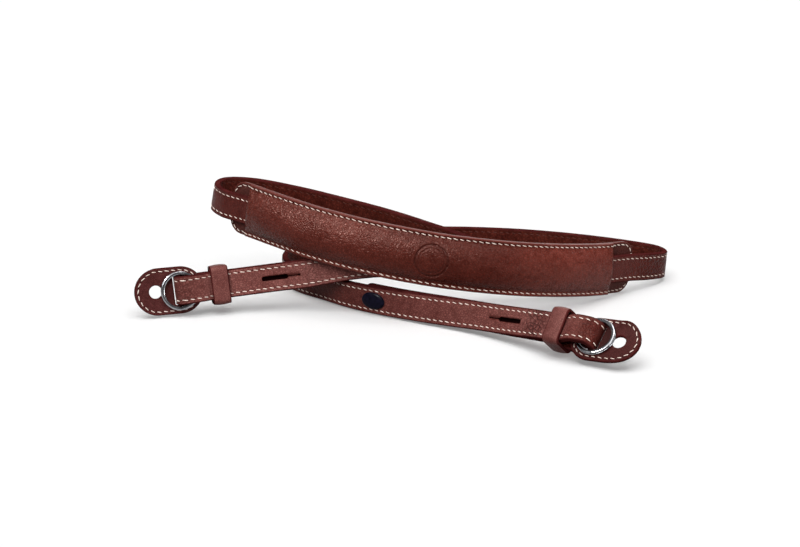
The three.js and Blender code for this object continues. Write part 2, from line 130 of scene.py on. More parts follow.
def smooth(value, low, high):
    """From 0 at low to 1 at high, level at both."""
    t = np.clip((np.asarray(value, float) - low) / (high - low), 0, 1)
    return t * t * (3 - 2 * t)


def bell(value, width):
    return np.exp(-((value / width) ** 2))


def around(count):
    """That many angles round a full turn."""
    return np.arange(count) / count * 2 * pi


def pairs(first, second):
    return np.stack(np.broadcast_arrays(first, second), axis=-1)


def circle(angles):
    return pairs(np.cos(angles), np.sin(angles))


# ---- The route


def curve_through(rows, power, steps=CURVE_STEPS):
    """The Catmull-Rom curve through rows, with knots apart by distance ** power."""
    rows = np.array(rows, float)
    ghosts = np.vstack([2 * rows[0] - rows[1], rows, 2 * rows[-1] - rows[-2]])
    gaps = np.linalg.norm(np.diff(ghosts, axis=0), axis=1) ** power
    t = (np.arange(steps) / steps)[:, None]
    pieces = []
    for i in range(1, len(rows)):
        p0, p1, p2, p3 = ghosts[i - 1 : i + 3]
        g0, g1, g2 = gaps[i - 1 : i + 2]
        start = ((p1 - p0) / g0 - (p2 - p0) / (g0 + g1) + (p2 - p1) / g1) * g1
        end = ((p2 - p1) / g1 - (p3 - p1) / (g1 + g2) + (p3 - p2) / g2) * g1
        square = -3 * p1 + 3 * p2 - 2 * start - end
        cube = 2 * p1 - 2 * p2 + start + end
        pieces.append(p1 + start * t + square * t**2 + cube * t**3)
    return np.vstack([*pieces, rows[-1:]])


def lengths_along(points):
    return np.concatenate([[0], np.cumsum(np.linalg.norm(np.diff(points, axis=0), axis=1))])


def unit(vectors):
    return vectors / np.linalg.norm(vectors, axis=-1, keepdims=True)


def between(values, places, table):
    """Rows of the table, interpolated at the places."""
    return np.stack([np.interp(places, values, column) for column in table.T], axis=-1)


ROUTE_POINTS = curve_through([row[:3] for row in ROUTE], 0.5)
ROUTE_LEANS = curve_through([row[3:] for row in ROUTE], 0)
ROUTE_LENGTHS = lengths_along(ROUTE_POINTS)
ROUTE_LENGTH = ROUTE_LENGTHS[-1]
ROUTE_ALONG = unit(np.gradient(ROUTE_POINTS, ROUTE_LENGTHS, axis=0))
PAD_START = ROUTE_LENGTHS[PAD_ROW * CURVE_STEPS] - PAD_BEFORE
PAD_END = PAD_START + PAD_LENGTH
PAD_MIDDLE = (PAD_START + PAD_END) / 2


def frame_at(distance):
    """The strap's middle point, and along, up and out there, at a distance along the route."""
    distance = np.asarray(distance, float)
    inside = np.clip(distance, 0, ROUTE_LENGTH)
    along = unit(between(ROUTE_LENGTHS, inside, ROUTE_ALONG))
    lean = np.radians(between(ROUTE_LENGTHS, inside, ROUTE_LEANS))
    up = np.stack([np.tan(lean[..., 1]), np.tan(lean[..., 0]), np.ones_like(inside)], axis=-1)
    up = unit(up - along * np.sum(up * along, axis=-1, keepdims=True))
    at = between(ROUTE_LENGTHS, inside, ROUTE_POINTS) + along * (distance - inside)[..., None]
    return at, along, up, np.cross(along, up)


def on_route(length, across, height):
    """Points at lengths along the route, across it and out from its middle plane."""
    length, across, height = np.broadcast_arrays(length, across, height)
    at, _, up, out = frame_at(length)
    return at + up * across[..., None] + out * height[..., None]


class Band:
    """A bent band given by its middle line and the up direction there."""

    def __init__(self, at, up, sense):
        self.at = at
        self.lengths = lengths_along(at)
        along = unit(np.gradient(at, self.lengths, axis=0))
        self.up = unit(up - along * np.sum(up * along, axis=-1, keepdims=True))
        self.skin = np.cross(along, self.up) * sense
        self.length = self.lengths[-1]

    def place(self, length, across, height):
        length, across, height = np.broadcast_arrays(length, across, height)
        at = between(self.lengths, length, self.at)
        up = unit(between(self.lengths, length, self.up))
        skin = unit(between(self.lengths, length, self.skin))
        return at + up * across[..., None] + skin * height[..., None]


# Places are measured outward from the ring's centre. lift is how high the strap humps over the
# ring, fold_at and reach where it turns down through the flap, tail the height at which it comes
# back, and fold_gap its room in the flap's slot. keeper_front and keeper_depth are the room in the
# keeper, which is keeper_low less tall on its lower side. creases hold a place, a spread and an
# amount. The strap's paleness is painted light: each of its steps holds two distances from the ring
# and how much of it goes between them, and it falls right at the ring as painted shade. The flap's
# paleness is painted light too, and the darkness at the fold is painted shade on the strap's fold
# and on the flap inside the ring.
ENDS = {
    "left": End(
        ring=0, outward=-1, lift=1.7, fold_at=-2.7, reach=3.2, tail=TAIL_DEPTH,
        keeper=-18.5, keeper_turn=0, keeper_front=2.2, keeper_depth=9.2, keeper_low=0.0,
        slot=-43.3, stud=-110, flap_turn=-3, ring_shift=(-0.4, 0.25), fold_gap=0.26,
        creases=[(-62, 9, 0.5), (-2, 4, 0.6)],
        fold_dark=0.25, pale_steps=[(110, 190, 1.0)], ring_pale=0.6, flap_pale=1.0,
    ),
    "right": End(
        ring=ROUTE_LENGTH, outward=1, lift=2.8, fold_at=-3.9, reach=4.9, tail=TAIL_DEPTH - 0.7,
        keeper=-17.2, keeper_turn=1, keeper_front=2.6, keeper_depth=10.6, keeper_low=0.6,
        slot=-43.4, stud=-114.3, flap_turn=4, ring_shift=(0.0, 0.0), fold_gap=0.02,
        creases=[(-29, 6, 1.3), (-410, 14, 0.9), (-2, 4, 0.6)],
        fold_dark=0.7, pale_steps=[(20, 55, 0.5), (95, 160, 0.5)], ring_pale=0.0, flap_pale=0.0,
    ),
}


def strap_band(end):
    """One half of the strap, from the pad's middle round to its tail, and its start's place."""
    start = -abs(end.ring - PAD_MIDDLE) + GAP / 2
    straight = np.arange(start, end.fold_at, STEP)
    hump = end.lift * smooth(straight, HUMP_FROM, HUMP_TO)
    turn = np.linspace(0, pi, FOLD_POINTS)
    middle, half = (end.lift + end.tail) / 2, (end.lift - end.tail) / 2
    tail = np.arange(end.fold_at - STEP, TAIL_END, -STEP)
    spread = smooth(tail, TAIL_PARTS, TAIL_SPREAD)
    outward = np.concatenate([straight, end.fold_at + end.reach * np.sin(turn), tail])
    back = -LAYER + spread * (end.tail + LAYER)
    height = np.concatenate([hump, middle + half * np.cos(turn), back])
    distance = end.ring + end.outward * outward
    _, _, up, _ = frame_at(distance)
    return Band(on_route(distance, 0, height), up, end.outward), start


def local_place(end, outward, height=0.0, turn=0.0):
    """A function from x outward, y up and z out at a fitting to the route's own frame."""
    at, along, up, out = frame_at(end.ring + end.outward * outward)
    x_axis, y_axis = along * end.outward, up * end.outward
    at = at + out * height
    c, s = cos(radians(turn)), sin(radians(turn))

    def place(x, y, z):
        x, y, z = np.broadcast_arrays(x, y, z)
        y, z = y * c - z * s, y * s + z * c
        return at + x[..., None] * x_axis + y[..., None] * y_axis + z[..., None] * out

    return place


# ---- The frame

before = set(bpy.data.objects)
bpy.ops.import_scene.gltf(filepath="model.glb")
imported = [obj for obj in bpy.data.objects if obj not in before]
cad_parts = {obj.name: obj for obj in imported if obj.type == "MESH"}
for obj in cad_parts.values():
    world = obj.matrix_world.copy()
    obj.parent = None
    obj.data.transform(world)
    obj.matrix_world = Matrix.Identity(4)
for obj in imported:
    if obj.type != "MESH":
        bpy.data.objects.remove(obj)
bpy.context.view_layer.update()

# Where the route's own origin lies in the frame: the strap's right half is measured in both.
section = [(w * STRAP_WIDTH / 2, t * HALF_STRAP) for w in (-1, 1) for t in (-1, 1)]
right_band, _ = strap_band(ENDS["right"])
corners = np.concatenate([right_band.place(right_band.lengths, w, t) for w, t in section])
right_low, right_high = (np.array(corner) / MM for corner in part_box("strap_right"))
ORIGIN = (right_low + right_high) / 2 - (corners.min(axis=0) + corners.max(axis=0)) / 2


# ---- Mesh helpers


def add_object(name, data):
    made = bpy.data.objects.new(name, data)
    bpy.context.scene.collection.objects.link(made)
    return made


def make_object(name, shape, materials, uv=None, flat=35):
    """A smooth-shaded object of a shape: its points, in millimetres on the route's frame, its
    faces, and their materials. Edges sharper than flat degrees stay sharp."""
    points, faces, marks = shape
    mesh = bpy.data.meshes.new(name)
    mesh.from_pydata(((points + ORIGIN) * MM).tolist(), [], faces)
    for material in materials:
        mesh.materials.append(material)
    mesh.polygons.foreach_set("material_index", np.asarray(marks, np.int32))
    if uv is not None:
        layer = mesh.uv_layers.new(name="UVMap")
        corner = np.zeros(len(mesh.loops), np.int32)
        mesh.loops.foreach_get("vertex_index", corner)
        layer.data.foreach_set("uv", (uv[corner] * MM).astype(np.float32).ravel())
    shell = bmesh.new()
    shell.from_mesh(mesh)
    bmesh.ops.recalc_face_normals(shell, faces=shell.faces)
    shell.to_mesh(mesh)
    shell.free()
    mesh.shade_smooth()
    if flat:
        mesh.set_sharp_from_angle(angle=radians(flat))
    mesh.validate()
    mesh.update()
    piece = add_object(name, mesh)
    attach(piece, "root")
    return piece


def set_attribute(piece, name, values):
    """Gives each point of the mesh a number that its material reads."""
    layer = piece.data.attributes.new(name, "FLOAT", "POINT")
    layer.data.foreach_set("value", np.asarray(values).ravel().astype(np.float32))


def grid_faces(rows, columns):
    """Quads over a grid of points that is closed round its columns."""
    r, c = np.meshgrid(np.arange(rows - 1), np.arange(columns), indexing="ij")
    a = r * columns + c
    b = r * columns + (c + 1) % columns
    return np.stack([a, b, b + columns, a + columns], axis=-1).reshape(-1, 4).tolist()


def tube_faces(rows, columns):
    """The same, and a flat face at both ends."""
    last = (rows - 1) * columns
    ends = [list(range(columns))[::-1], list(range(last, last + columns))]
    return grid_faces(rows, columns) + ends


def swept(grid, column_material=None):
    """The shape of a closed section swept along, with flat ends."""
    rows, columns = grid.shape[:2]
    marks = np.zeros(columns, int) if column_material is None else column_material
    kinds = [*np.tile(marks, rows - 1), marks[0], marks[0]]
    return grid.reshape(-1, 3), tube_faces(rows, columns), kinds


def inside_loops(points, loops):
    """Which points lie inside, by counting crossings of every loop."""
    hit = np.zeros(len(points), bool)
    x, y = points.T
    for loop in loops:
        for (x0, y0), (x1, y1) in zip(loop, np.roll(loop, -1, axis=0)):
            if y0 == y1:
                continue
            crosses = (y0 > y) != (y1 > y)
            hit ^= crosses & (x < (x1 - x0) * (y - y0) / (y1 - y0) + x0)
    return hit


def loop_normals(loop):
    """Unit normals out of the material, which lies to the loop's left."""
    along = unit(np.roll(loop, -1, axis=0) - np.roll(loop, 1, axis=0))
    return pairs(along[:, 1], -along[:, 0])


def numbered(loops):
    """The numbers of each loop's points."""
    ends = np.cumsum([len(loop) for loop in loops])
    return np.split(np.arange(ends[-1]), ends[:-1])


def filled(loops, rims, spacing, rows):
    """The rims' points, more between them on a grid and in rows, and triangles over all."""
    low, high = loops[0].min(axis=0), loops[0].max(axis=0)
    ticks = [np.arange(a + spacing / 2, b, spacing) for a, b in zip(low, high)]
    fillers = np.vstack([np.stack(np.meshgrid(*ticks), axis=-1).reshape(-1, 2), *rows])
    every_rim = np.vstack(rims)
    nearest = np.array([np.min(np.sum((every_rim - p) ** 2, axis=1)) for p in fillers])
    apart = nearest > (0.45 * spacing) ** 2
    flat = np.vstack([every_rim, fillers[inside_loops(fillers, rims) & apart]])
    edges = np.vstack([pairs(ring, np.roll(ring, -1)) for ring in numbered(rims)]).tolist()
    _, _, faces, originals, _, _ = delaunay_2d_cdt([Vector(p) for p in flat], edges, [], 0, 1e-5)
    index = {i: min(group) for i, group in enumerate(originals) if group}
    faces = np.array([[index[i] for i in face] for face in faces if index.keys() >= set(face)])
    faces = faces[inside_loops(flat[faces].mean(axis=1), rims)]
    first, second, third = np.moveaxis(flat[faces], 1, 0)
    clockwise = np.cross(second - first, third - first) <= 0
    faces[clockwise] = faces[clockwise][:, ::-1]
    return flat, faces


def plate(place, loops, thickness, round_by, spacing, dent, rows):
    """The shape of a plate with rounded edges, and its points' places. loops hold the outline,
    counter-clockwise, and its holes, clockwise; dent lowers both faces at rows of points."""
    top = thickness / 2
    normals = [loop_normals(loop) for loop in loops]
    rims = [loop - normal * round_by for loop, normal in zip(loops, normals)]
    flat, faces = filled(loops, rims, spacing, rows)
    lowered = top - dent(flat)
    points = [np.column_stack([flat, lowered]), np.column_stack([flat, -lowered])]
    all_faces = faces.tolist() + (faces[:, ::-1] + len(flat)).tolist()
    marks = [0] * len(faces) + [1] * len(faces)
    first = 2 * len(flat)
    for rim, normal, ring in zip(rims, normals, numbered(rims)):
        rings = [ring]
        for angle in np.linspace(pi / 2, -pi / 2, PLATE_EDGE_POINTS)[1:-1]:
            offset = round_by * cos(angle)
            level = copysign(top - round_by, sin(angle)) + round_by * sin(angle)
            points.append(np.column_stack([rim + normal * offset, np.full(len(rim), level)]))
            rings.append(np.arange(len(rim)) + first)
            first += len(rim)
        here = np.array([*rings, ring + len(flat)])
        there = np.roll(here, -1, axis=1)
        quads = np.stack([there[:-1], here[:-1], here[1:], there[1:]], axis=-1).reshape(-1, 4)
        all_faces += quads.tolist()
        marks += [2] * len(quads)
    points = np.vstack(points)
    return (place(*points.T), all_faces, marks), points[:, :2]


def ovals(first, second, sides, length, width):
    """Ovals with length along the first directions and width along the second."""
    turns = around(sides)[:, None]
    along = first[..., None, :] * np.cos(turns) * length / 2
    return along + second[..., None, :] * np.sin(turns) * width / 2


def repeated(runs, faces, material):
    """Runs of points that all have the same faces."""
    count, size = runs.shape[:2]
    every = [[size * k + i for i in face] for k in range(count) for face in faces]
    return runs.reshape(-1, 3), every, [THREADS.index(material)] * len(every)


def threads(surface, side, path, reach, middles):
    """A thread round each of the middles, a little slanted in its row."""
    count = len(middles)
    t = np.linspace(-1, 1, len(THREAD_TAPER))
    spots = middles[:, None] + t * DASH / 2 * rng.uniform(0.94, 1.05, (count, 1))
    arch = side * THREAD_HEIGHT * (0.5 - 0.95 * np.abs(t) ** 3)
    x, y = np.moveaxis(between(reach, spots, path), -1, 0)
    base = surface(x, y, arch)
    normal = unit(surface(x, y, arch + side * 0.2) - base)
    across = np.cross(normal, unit(np.gradient(base, axis=1)))
    slant = rng.normal(THREAD_SLANT, 0.04, (count, 1)) * t
    base = base - across * slant[..., None]
    section = ovals(across, normal, THREAD_SIDES, THREAD_WIDTH, THREAD_HEIGHT)
    runs = base[:, :, None] + section * THREAD_TAPER[:, None, None]
    material = THREAD if side > 0 else DULL_THREAD
    return repeated(runs.reshape(count, -1, 3), tube_faces(len(t), THREAD_SIDES), material)


def needle_holes(surface, side, path, reach, middles):
    """Near-black plugs that end just proud of the leather: painted shade in the needle holes."""
    ahead = unit(between(reach, middles + 0.05, path) - between(reach, middles - 0.05, path))
    beside = pairs(-ahead[:, 1], ahead[:, 0])
    oval = ovals(ahead, beside, HOLE_SIDES, HOLE_LENGTH, HOLE_WIDTH)
    oval = between(reach, middles, path)[:, None] + oval
    levels = [surface(oval[..., 0], oval[..., 1], side * level) for level in HOLE_LEVELS]
    runs = np.concatenate(levels, axis=1)
    return repeated(runs, tube_faces(2, HOLE_SIDES), NEEDLE_HOLE_SHADOW)


def both_faces(place, level):
    """The surfaces at a level over a middle plane, and as far under it."""
    return (lambda x, y, h: place(x, y, level + h)), (lambda x, y, h: place(x, y, h - level))


def sewn(surfaces, path, pitch, closed=False):
    """Threads and needle holes along a path, bright on the front surface and dull on the back
    one. A surface gives points at a height over itself."""
    if closed:
        path = np.vstack([path, path[:1]])
    reach = lengths_along(path)
    count = max(2, round(reach[-1] / pitch))
    pitch = reach[-1] / count
    shapes = []
    for surface, side in zip(surfaces, (1, -1)):
        seam = surface, side, path, reach
        shapes.append(threads(*seam, (np.arange(count) + 0.5) * pitch))
        shapes.append(needle_holes(*seam, np.arange(count + (not closed)) * pitch))
    return shapes


def gather(shapes):
    """Joins shapes into one."""
    points, faces, marks, first = [], [], [], 0
    for some_points, some_faces, some_marks in shapes:
        points.append(some_points)
        faces += [[i + first for i in face] for face in some_faces]
        marks += list(some_marks)
        first += len(some_points)
    return np.vstack(points), faces, marks


def thread_piece(name, rows):
    make_object(name, gather(rows), THREADS, flat=0)


# ---- Materials


def rgb(red, green, blue):
    return (red, green, blue, 1.0)


def shade(colour, *times):
    """The colour times one number, or one for each of red, green and blue."""
    parts = times * 3 if len(times) == 1 else times
    return rgb(*[min(1, part * value) for part, value in zip(parts, colour)])


def new_material(name, roughness, **constants):
    material = bpy.data.materials.new(name)
    material.use_nodes = True
    shader = material.node_tree.nodes["Principled BSDF"]
    shader.inputs["Roughness"].default_value = roughness
    for socket, value in constants.items():
        shader.inputs[socket.replace("_", " ")].default_value = value
    return material, shader


class Finish:
    """A procedural material in the making, on the object's own place."""

    def __init__(self, name, roughness, **constants):
        self.material, self.shader = new_material(name, roughness, **constants)
        self.place = self.node("TexCoord").outputs["Object"]

    def node(self, kind, inputs=(), **settings):
        made = self.material.node_tree.nodes.new("ShaderNode" + kind)
        for key, value in settings.items():
            setattr(made, key, value)
        for socket, value in dict(inputs).items():
            if isinstance(value, bpy.types.NodeSocket):
                self.material.node_tree.links.new(value, made.inputs[socket])
            else:
                made.inputs[socket].default_value = value
        return made

    def give(self, socket, value):
        """Feeds the shader's socket from another node."""
        self.material.node_tree.links.new(value, self.shader.inputs[socket])

    def maths(self, operation, first, second):
        return self.node("Math", {0: first, 1: second}, operation=operation).outputs[0]

    def ranged(self, value, low, high, to_low=0.0, to_high=1.0):
        inputs = enumerate([value, low, high, to_low, to_high])
        return self.node("MapRange", inputs, clamp=True).outputs[0]

    def noise(self, size_mm, detail, place=None, output=0):
        place = self.place if place is None else place
        inputs = {"Vector": place, "Scale": 1 / (size_mm * MM), "Detail": detail}
        return self.node("TexNoise", inputs).outputs[output]

    def voronoi(self, size_mm, place, output, **settings):
        inputs = {"Vector": place, "Scale": 1 / (size_mm * MM)}
        return self.node("TexVoronoi", inputs, **settings).outputs[output]

    def from_cracks(self, size_mm, place):
        """The distance to the nearest edge between cells of that size."""
        return self.voronoi(size_mm, place, "Distance", feature="DISTANCE_TO_EDGE")

    def attribute(self, name):
        return self.node("Attribute", attribute_name=name).outputs["Fac"]

    def weighted(self, *terms):
        """The sum of terms, each a value and its weight."""
        total = None
        for value, weight in terms:
            part = self.maths("MULTIPLY", value, weight)
            total = part if total is None else self.maths("ADD", total, part)
        return total

    def mixed(self, factor, first, second):
        return self.node("Mix", {0: factor, 6: first, 7: second}, data_type="RGBA").outputs[2]

    def colour(self, tone, low, high, dark, light):
        """Colours it from dark where the tone is low to light where it is high."""
        self.give("Base Color", self.mixed(self.ranged(tone, low, high), dark, light))

    def bump(self, height, depth_mm):
        inputs = {"Height": height, "Distance": depth_mm * MM, "Strength": 1.0}
        self.give("Normal", self.node("Bump", inputs).outputs[0])


LEATHER_TINT = rgb(1.0, 0.55, 0.47)  # of its reflections
# Sizes in the grain of leather, and how dark or light some places are: painted shade in grain
# valleys and wrinkles, darker embossed lines and painted shade at folds, and lighter scuffs.
WOBBLE, PORES, CLOUDS, PATCHES, SWELLS, WRINKLES, SCUFFS = 1.6, 0.3, 16.0, 2.6, 1.4, 2.0, 1.1
VALLEY_PAINTED_SHADE, WRINKLE_PAINTED_SHADE, PRESSED_AND_FOLD_SHADE_TONE, SCUFF_SHADE = 0.3, 0.4, 0.35, 2.2


def leather(
    name, dark, light, roughness=0.42, grain=1.0, depth=0.2, cloudy=0.5, worn=0.0, painted_light=None,
    gloss=0.14,
):
    """Grained leather: pebbles with painted shade in their valleys, finer pores, cloudy dye and, if
    worn, paler scuffs. Attributes of the mesh give painted light that makes it brighter by the
    given factors, creases with painted shade in their wrinkles, and embossed lines, which are
    darker, along with painted shade at folds."""
    made = Finish(name, roughness, Specular_IOR_Level=gloss, Specular_Tint=LEATHER_TINT)
    wobble = made.noise(WOBBLE, 2.0, output="Color")
    reach = (0.6 * grain * MM,) * 3
    shift = made.node("VectorMath", {0: wobble, 1: reach}, operation="MULTIPLY").outputs[0]
    bent = made.node("VectorMath", {0: made.place, 1: shift}, operation="ADD").outputs[0]
    pebble = made.ranged(made.from_cracks(grain, bent), 0.0, 0.3)
    tints = made.voronoi(grain, bent, "Color")
    pores = made.noise(PORES, 3.0)
    patches = made.noise(PATCHES, 4.0)
    swells = made.noise(SWELLS * grain, 1.0)
    tone = made.weighted((made.noise(CLOUDS, 3.0), cloudy), (patches, 0.9 - cloudy), (tints, 0.1))
    tone = made.ranged(tone, 0.34, 0.66)
    coloured = made.mixed(tone, dark, light)
    # Painted light: where the mesh says so, the colour is brighter by the given factors.
    if painted_light:
        paler = made.mixed(tone, shade(dark, *painted_light), shade(light, *painted_light))
        coloured = made.mixed(made.attribute("painted_light"), coloured, paler)
    # Painted shade in the grain's valleys.
    painted_valley_shade = made.ranged(pebble, 0.0, 1.0, 0.55, 0.0)
    coloured = made.mixed(painted_valley_shade, coloured, shade(dark, VALLEY_PAINTED_SHADE))
    if worn:
        scuffs = made.ranged(made.noise(SCUFFS, 5.0, bent), 0.55, 0.75, 0.0, worn)
        coloured = made.mixed(scuffs, coloured, shade(light, SCUFF_SHADE))
    # Painted shade in the wrinkles where the leather is creased; the wrinkles are also bumped.
    creased = made.attribute("creased")
    wrinkles = made.from_cracks(WRINKLES, bent)
    painted_wrinkle_shade = made.maths("MULTIPLY", made.ranged(wrinkles, 0.0, 0.16, 0.4, 0.0), creased)
    coloured = made.mixed(painted_wrinkle_shade, coloured, shade(dark, WRINKLE_PAINTED_SHADE))
    # Embossed lines are darker leather; the same attribute carries painted shade at the strap's
    # folds and on the flaps inside the rings.
    pressed_and_fold_shade = made.attribute("pressed_and_fold_shade")
    made.give("Base Color", made.mixed(pressed_and_fold_shade, coloured, shade(dark, PRESSED_AND_FOLD_SHADE_TONE)))
    folds = made.maths("MULTIPLY", made.ranged(wrinkles, 0.0, 0.22), creased)
    relief = (pebble, 0.4), (pores, 0.12), (patches, 0.4), (swells, 0.9), (folds, 2.5)
    made.bump(made.weighted(*relief), depth)
    dull = made.weighted((patches, 0.6), (tints, 0.4))
    made.give("Roughness", made.ranged(dull, 0.3, 0.7, roughness - 0.08, roughness + 0.1))
    return made.material


def cut_edge(name, dark, light, gloss=0.0):
    """The burnished cut edge of leather."""
    made = Finish(name, 0.42, Specular_IOR_Level=gloss, Specular_Tint=LEATHER_TINT)
    fibres = made.noise(0.35, 3.0)
    clouds = made.noise(6.0, 2.0)
    made.colour(made.weighted((fibres, 0.5), (clouds, 0.5)), 0.35, 0.65, dark, light)
    made.bump(fibres, 0.05)
    return made.material


def thread_material(name, dark, light, gloss=0.4):
    """Waxed twisted thread."""
    made = Finish(name, 0.6, Specular_IOR_Level=gloss)
    twist = made.noise(0.16, 2.0)
    stain = made.noise(3.5, 2.0)
    made.colour(made.weighted((twist, 0.5), (stain, 0.5)), 0.35, 0.65, dark, light)
    made.bump(twist, 0.08)
    return made.material


def steel(name, dark, light, roughness):
    """Polished wire with fine scratches and a few dull spots."""
    made = Finish(name, roughness, Metallic=1.0)
    stains = made.noise(2.5, 3.0)
    made.colour(stains, 0.35, 0.65, dark, light)
    made.give("Roughness", made.ranged(stains, 0.3, 0.7, roughness - 0.03, roughness + 0.06))
    made.bump(made.noise(0.2, 4.0), 0.0002)
    return made.material


def enamel(name, dark, light):
    """Near-black gloss enamel with faint handling marks."""
    made = Finish(name, 0.3, Specular_IOR_Level=0.03)
    marks = made.noise(1.5, 4.0)
    made.colour(marks, 0.3, 0.7, dark, light)
    made.give("Roughness", made.ranged(marks, 0.3, 0.7, 0.25, 0.4))
    return made.material


STRAP_LEATHER = leather(
    "strap_leather", rgb(0.055, 0.008, 0.006), rgb(0.108, 0.021, 0.016),
    roughness=0.4, painted_light=(2.35, 4.5, 5.2), gloss=0.11,
)
# The strap's back face: rougher, scuffed leather, darker than the front partly as its own colour
# and partly as painted shade.
STRAP_INSIDE = leather(
    "strap_inside", rgb(0.038, 0.005, 0.003), rgb(0.092, 0.017, 0.011),
    roughness=0.45, grain=1.3, depth=0.3, cloudy=0.3, worn=0.3, gloss=0.05,
)
PAD_LEATHER = leather(
    "pad_leather", rgb(0.046, 0.0055, 0.003), rgb(0.083, 0.014, 0.009),
    roughness=0.3, depth=0.25, painted_light=(2.2, 2.8, 3.1), gloss=0.15,
)
LINING = leather(
    "lining", rgb(0.04, 0.008, 0.006), rgb(0.085, 0.022, 0.018), roughness=0.55, grain=0.8
)
FITTING_LEATHER = leather(
    "fitting_leather", rgb(0.105, 0.028, 0.024), rgb(0.2, 0.07, 0.062),
    roughness=0.4, grain=0.7, depth=0.14, gloss=0.09,
)
FLAP_LEATHER = leather(
    "flap_leather", rgb(0.034, 0.006, 0.006), rgb(0.068, 0.015, 0.015),
    roughness=0.45, grain=0.7, depth=0.14, painted_light=(1.6, 2.1, 2.0), gloss=0.06,
)
EDGE = cut_edge("leather_edge", rgb(0.03, 0.005, 0.005), rgb(0.07, 0.014, 0.013))
PAD_EDGE = cut_edge("pad_edge", rgb(0.066, 0.012, 0.009), rgb(0.118, 0.028, 0.021), gloss=0.06)
THREAD = thread_material("thread", rgb(0.55, 0.4, 0.33), rgb(0.95, 0.82, 0.73))
DULL_THREAD = thread_material(
    "dull_thread", rgb(0.045, 0.009, 0.006), rgb(0.1, 0.028, 0.02), gloss=0.1
)
# Near black: painted shade in the needle holes.
NEEDLE_HOLE_SHADOW = cut_edge("needle_hole_shadow", rgb(0.012, 0.003, 0.003), rgb(0.035, 0.008, 0.007))
# Near black: painted shadow inside the slots.
SLOT_SHADOW = cut_edge("slot_painted_shadow", rgb(0.004, 0.001, 0.001), rgb(0.01, 0.002, 0.002))
STEEL = steel("ring_steel", rgb(0.2, 0.2, 0.215), rgb(0.34, 0.34, 0.355), 0.12)
ENAMEL = enamel("stud_enamel", rgb(0.002, 0.002, 0.005), rgb(0.006, 0.005, 0.014))
STRAP_LOOKS = [STRAP_LEATHER, EDGE, STRAP_INSIDE, SLOT_SHADOW]
THREADS = [THREAD, DULL_THREAD, NEEDLE_HOLE_SHADOW]


# ---- The strap


def strap_outline():
    """The strap's section: across, height and material, from the front face round."""
    half, top = STRAP_WIDTH / 2, HALF_STRAP
    row = STRAP_SEAM
    face = [-5.75, -5.2, -4.85, -row - 0.2, -row, -row + 0.2, -3.9, -3.2, -1.6, 0]
    face = face + [-v for v in face[-2::-1]]
    front = [(v, top, 0) for v in face]
    edge = [(half - 0.28, top - 0.06), (half - 0.1, top - 0.22), (half, top - 0.55), (half, 0.3)]
    edge += [(half - 0.13, 0.0)] + [(v, -h) for v, h in edge[::-1]]
    right = [(v, h, 1) for v, h in edge]
    back = [(-v, -top, 2) for v in face]
    left = [(-v, -h, 1) for v, h in edge]
    return np.array(front + right + back + left)


def strap_dent(length, across, height):
    """How far a face is pulled in at its seams, deepest at the needle holes."""
    row = bell(np.abs(across) - STRAP_SEAM, SEAM_WIDTH)
    pull = 0.6 + 0.4 * np.cos(2 * pi * length / STRAP_PITCH)
    wave = FACE_WAVE * np.sin(length / 7.3) * np.cos(across / 2.9 + length / 19)
    return np.sign(height) * (SEAM_DEPTH * row * pull + wave)


def strap_looks(piece, end, long, start):
    """Where the strap is creased, its painted light, which falls off far from the ring and right at
    it, and its painted shade at the fold.
    """
    creased = sum(amount * bell(long - (at - start), wide) for at, wide, amount in end.creases)
    set_attribute(piece, "creased", creased)
    # Painted light, falling off far from the ring, and painted shade right at the ring.
    from_ring = np.abs(long + start)
    painted_light = 1 - sum(amount * smooth(from_ring, near, far) for near, far, amount in end.pale_steps)
    ring_painted_shade = end.ring_pale + (1 - end.ring_pale) * smooth(from_ring, 3, 17)
    set_attribute(piece, "painted_light", painted_light * ring_painted_shade)
    # Painted shade where the strap folds down through the flap.
    from_fold = long + start - 0.5
    fold_shade_mask = smooth(from_fold, 0, 3.5) * (1 - smooth(from_fold, 10, 16))
    set_attribute(piece, "pressed_and_fold_shade", end.fold_dark * fold_shade_mask)


def strap_stitches(side, band):
    """A seam along both sides of the strap."""
    rows = []
    along = np.arange(2.0, band.length - 2.2, 1.0)
    surfaces = both_faces(band.place, HALF_STRAP - THREAD_SUNK)
    for across in (STRAP_SEAM, -STRAP_SEAM):
        rows += sewn(surfaces, pairs(along, across), STRAP_PITCH)
    thread_piece(f"stitches_strap_{side}", rows)


def strap_piece(side, end):
    band, start = strap_band(end)
    lengths = np.arange(0, band.length, STEP)
    across, height, kinds = strap_outline().T
    long, wide = np.meshgrid(lengths, across, indexing="ij")
    high = np.broadcast_to(height, long.shape)
    on_a_face = np.abs(high) > HALF_STRAP - 0.01
    high = high - np.where(on_a_face, strap_dent(long, wide, high), 0)
    # The tail's end is rounded at its corners.
    to_end = np.clip(band.length - long, 0, TAIL_ROUNDING)
    corner = 1 - np.sqrt(1 - (1 - to_end / TAIL_ROUNDING) ** 2)
    wide = wide * (1 - TAIL_NARROWING * corner)
    next_kind = np.roll(kinds, -1)
    column = np.where(kinds == next_kind, kinds, 1).astype(int)
    shape = swept(band.place(long, wide, high), column)
    uv = pairs(long, wide).reshape(-1, 2)
    piece = make_object(f"strap_{side}_leather", shape, STRAP_LOOKS, uv, 60)
    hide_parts(f"strap_{side}")
    strap_looks(piece, end, long, start)
    strap_stitches(side, band)
    cut_slot(piece, band, end.slot - start)


